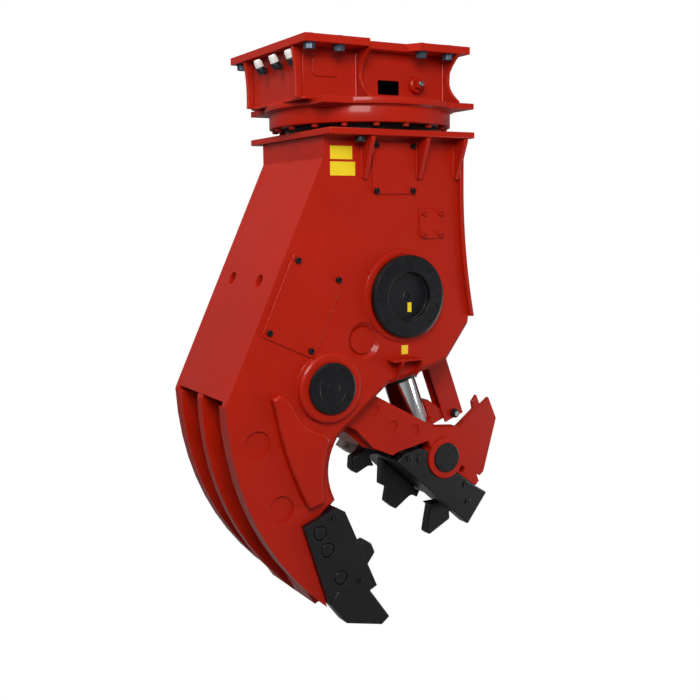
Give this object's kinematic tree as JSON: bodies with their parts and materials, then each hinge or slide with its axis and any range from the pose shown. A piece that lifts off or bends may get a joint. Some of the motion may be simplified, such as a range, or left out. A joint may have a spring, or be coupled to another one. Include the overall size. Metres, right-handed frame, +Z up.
{
  "type": "concrete pulverizer",
  "caption": "Rotating hydraulic concrete pulverizer for an excavator arm: slew mount, steel body, fixed toothed jaw and a moving toothed jaw driven by a cylinder.",
  "frame": {"origin": "slew axis at the upper face of the mount plate", "axes": "+X along the side plates towards the rod pin, +Y across the body, +Z up out of the mount"},
  "size_m": [1.544, 0.85, 2.526],
  "materials": {
    "red_paint": "gloss",
    "black_steel": "satin",
    "black_cap": "gloss",
    "zinc_bolt": "zinc plated",
    "chrome": "polished",
    "bare_steel": "machined",
    "bronze": "machined",
    "dark_cast": "satin",
    "white_plastic": "gloss",
    "pale_steel": "ground"
  },
  "bodies": {
    "adapter": {"mount_plate": "red_paint", "mount_bolts": "zinc_bolt", "mount_box": "red_paint", "mount_gussets": "red_paint", "mount_cover": "red_paint", "mount_flange": "red_paint", "port_collars": "dark_cast", "port_caps": "white_plastic", "access_plug": "bare_steel", "slew_motor": "dark_cast", "swivel_housing": "dark_cast", "drum_housing": "red_paint", "drum_bolts": "zinc_bolt", "outer_race": "bare_steel"},
    "pinion": {"slew_pinion": "bare_steel"},
    "body": {"inner_race": "bare_steel", "swivel_core": "dark_cast", "top_plate": "red_paint", "top_plate_plug": "dark_cast", "near_side_plate": "red_paint", "far_side_plate": "red_paint", "doublers": "red_paint", "back_plate": "red_paint", "front_plate": "red_paint", "top_ribs": "red_paint", "side_covers": "red_paint", "cover_bolts": "black_cap", "centre_fin": "red_paint", "cross_beams": "red_paint", "cheek_pads": "red_paint", "hose_brackets": "red_paint", "jaw_bosses": "red_paint", "jaw_pin": "bare_steel", "jaw_pin_caps": "black_cap", "trunnion_bushes": "bronze", "trunnion_bezels": "red_paint", "trunnion_caps": "black_cap", "cap_bolts": "black_cap", "side_shoes": "black_steel", "shoe_plugs": "black_steel", "shoe_bolts": "black_steel", "shoe_teeth": "black_steel", "tip_teeth": "black_steel"},
    "barrel": {"barrel": "red_paint", "gland": "dark_cast"},
    "rod": {"piston_rod": "chrome", "rod_clamp": "red_paint", "rod_guard": "red_paint", "guard_bolt": "zinc_bolt"},
    "jaw": {"jaw_frame": "red_paint", "jaw_bushes": "bronze", "rod_pin": "bare_steel", "rod_pin_caps": "black_cap", "tail_plate": "red_paint", "tail_fins": "red_paint", "blade_holders": "black_steel", "holder_bolts": "black_steel", "cutter_block": "pale_steel", "tooth_base": "black_steel", "jaw_teeth": "black_steel"}
  },
  "joints": [
    {"name": "slew", "type": "hinge", "parent": "adapter", "child": "body", "pos_m": [0, 0, -0.3], "axis": [0, 0, 1], "continuous": true},
    {"name": "pinion_spin", "type": "hinge", "parent": "adapter", "child": "pinion", "pos_m": [-0.204, 0, -0.29], "axis": [0, 0, 1], "continuous": true},
    {"name": "jaw_swing", "type": "hinge", "parent": "body", "child": "jaw", "pos_m": [-0.335, 0, -1.431], "axis": [0, 1, 0], "range_deg": [-14, 32]},
    {"name": "barrel_swing", "type": "hinge", "parent": "body", "child": "barrel", "pos_m": [0.048, 0, -1.063], "axis": [0, 1, 0], "range_deg": [-10, 23]},
    {"name": "rod_stroke", "type": "slide", "parent": "barrel", "child": "rod", "axis": [0.3423, 0, -0.9396], "range_m": [-0.12, 0.26]}
  ],
  "couplings": [
    {"joint": "pinion_spin", "follows": "slew", "ratio": 5.8571},
    {"joint": "barrel_swing", "follows": "jaw_swing", "ratio": 0.7},
    {"joint": "rod_stroke", "follows": "jaw_swing", "m_per_rad": 0.456}
  ]
}
